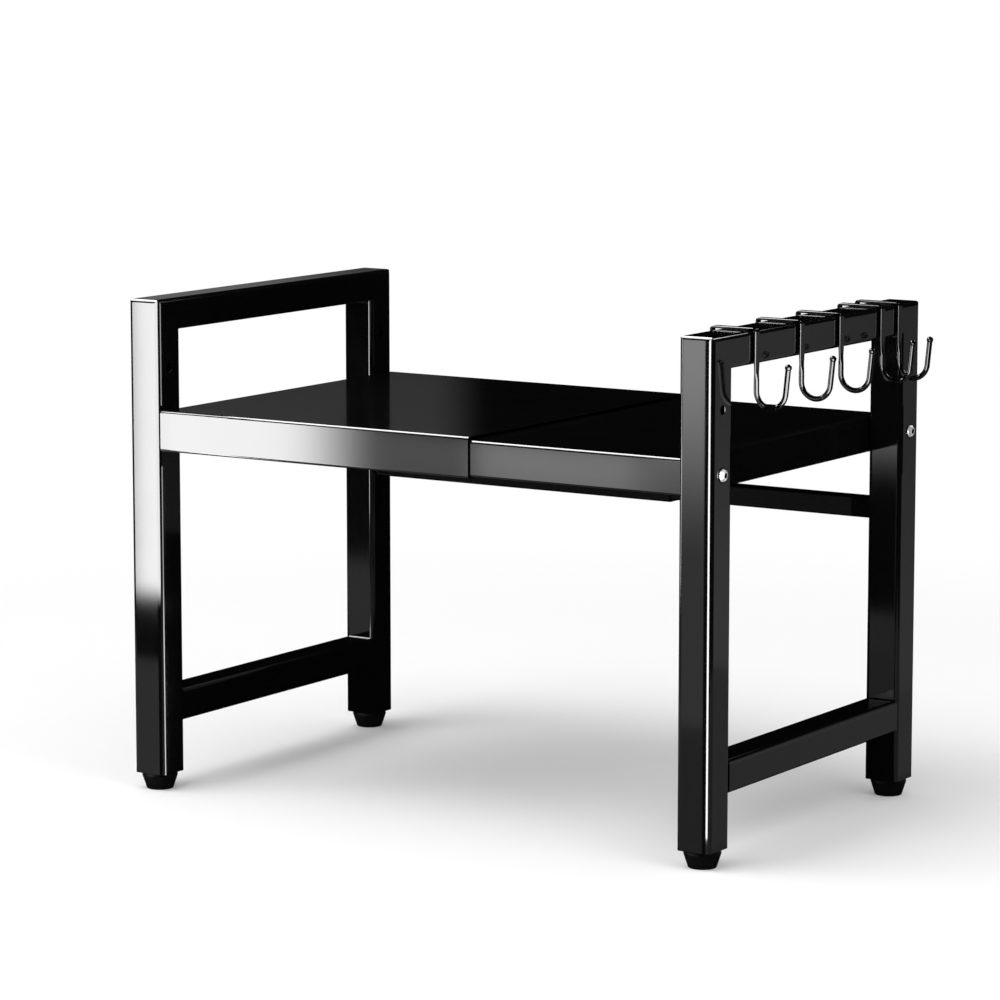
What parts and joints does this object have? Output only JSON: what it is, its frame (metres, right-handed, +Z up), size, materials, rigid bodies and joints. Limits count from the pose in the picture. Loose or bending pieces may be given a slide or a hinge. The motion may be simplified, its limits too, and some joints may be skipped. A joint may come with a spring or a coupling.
{
  "type": "microwave rack",
  "caption": "Width-adjustable worktop rack: two steel side frames, a telescoping sheet shelf and rear bar, screw-in levelling feet and sliding hooks on one side.",
  "frame": {"origin": "centre of the footprint of the whole rack, hooks and screw heads included, on the surface that the feet stand on", "axes": "+X from the left side frame to the right one, the side that carries the hooks; +Y from front to back; +Z up"},
  "size_m": [0.628, 0.36, 0.4402],
  "materials": {
    "frame_black": "high-gloss black coating",
    "tray_black": "gloss black coating",
    "hook_black": "gloss black coating",
    "screw_chrome": "bright plating",
    "zinc_steel": "dull zinc",
    "foot_rubber": "matte moulded",
    "plug_plastic": "moulded"
  },
  "bodies": {
    "left_half": {"left_front_post": "frame_black", "left_rear_post": "frame_black", "left_top_rail": "frame_black", "left_bottom_rail": "frame_black", "outer_tray": "tray_black", "rear_bar_outer": "frame_black", "left_shelf_screws": "screw_chrome", "left_shelf_nuts": "zinc_steel", "left_front_post_plug": "plug_plastic", "left_rear_post_plug": "plug_plastic", "left_front_plug_nut": "zinc_steel", "left_rear_plug_nut": "zinc_steel"},
    "right_half": {"right_front_post": "frame_black", "right_rear_post": "frame_black", "right_top_rail": "frame_black", "right_bottom_rail": "frame_black", "inner_tray": "tray_black", "rear_bar_inner": "frame_black", "right_shelf_screws": "screw_chrome", "right_shelf_nuts": "zinc_steel", "right_front_post_plug": "plug_plastic", "right_rear_post_plug": "plug_plastic", "right_front_plug_nut": "zinc_steel", "right_rear_plug_nut": "zinc_steel"},
    "left_front_foot": {"left_front_foot_pad": "foot_rubber", "left_front_foot_stud": "zinc_steel"},
    "left_rear_foot": {"left_rear_foot_pad": "foot_rubber", "left_rear_foot_stud": "zinc_steel"},
    "right_front_foot": {"right_front_foot_pad": "foot_rubber", "right_front_foot_stud": "zinc_steel"},
    "right_rear_foot": {"right_rear_foot_pad": "foot_rubber", "right_rear_foot_stud": "zinc_steel"},
    "hook_1": {"hook_1": "hook_black"},
    "hook_2": {"hook_2": "hook_black"},
    "hook_3": {"hook_3": "hook_black"},
    "hook_4": {"hook_4": "hook_black"},
    "hook_5": {"hook_5": "hook_black"}
  },
  "joints": [
    {"name": "width_slide", "type": "slide", "parent": "left_half", "child": "right_half", "axis": [1, 0, 0], "range_m": [-0.19, 0.055]},
    {"name": "left_front_foot_screw", "type": "slide", "parent": "left_half", "child": "left_front_foot", "axis": [0, 0, -1], "range_m": [0, 0.01]},
    {"name": "left_rear_foot_screw", "type": "slide", "parent": "left_half", "child": "left_rear_foot", "axis": [0, 0, -1], "range_m": [0, 0.01]},
    {"name": "right_front_foot_screw", "type": "slide", "parent": "right_half", "child": "right_front_foot", "axis": [0, 0, -1], "range_m": [0, 0.01]},
    {"name": "right_rear_foot_screw", "type": "slide", "parent": "right_half", "child": "right_rear_foot", "axis": [0, 0, -1], "range_m": [0, 0.01]},
    {"name": "hook_1_slide", "type": "slide", "parent": "right_half", "child": "hook_1", "axis": [0, 1, 0], "range_m": [-0.0596, 0.0342]},
    {"name": "hook_2_slide", "type": "slide", "parent": "right_half", "child": "hook_2", "axis": [0, 1, 0], "range_m": [-0.0342, 0.0307]},
    {"name": "hook_3_slide", "type": "slide", "parent": "right_half", "child": "hook_3", "axis": [0, 1, 0], "range_m": [-0.0307, 0.0333]},
    {"name": "hook_4_slide", "type": "slide", "parent": "right_half", "child": "hook_4", "axis": [0, 1, 0], "range_m": [-0.0333, 0.0122]},
    {"name": "hook_5_slide", "type": "slide", "parent": "right_half", "child": "hook_5", "axis": [0, 1, 0], "range_m": [-0.0122, 0.0353]}
  ]
}
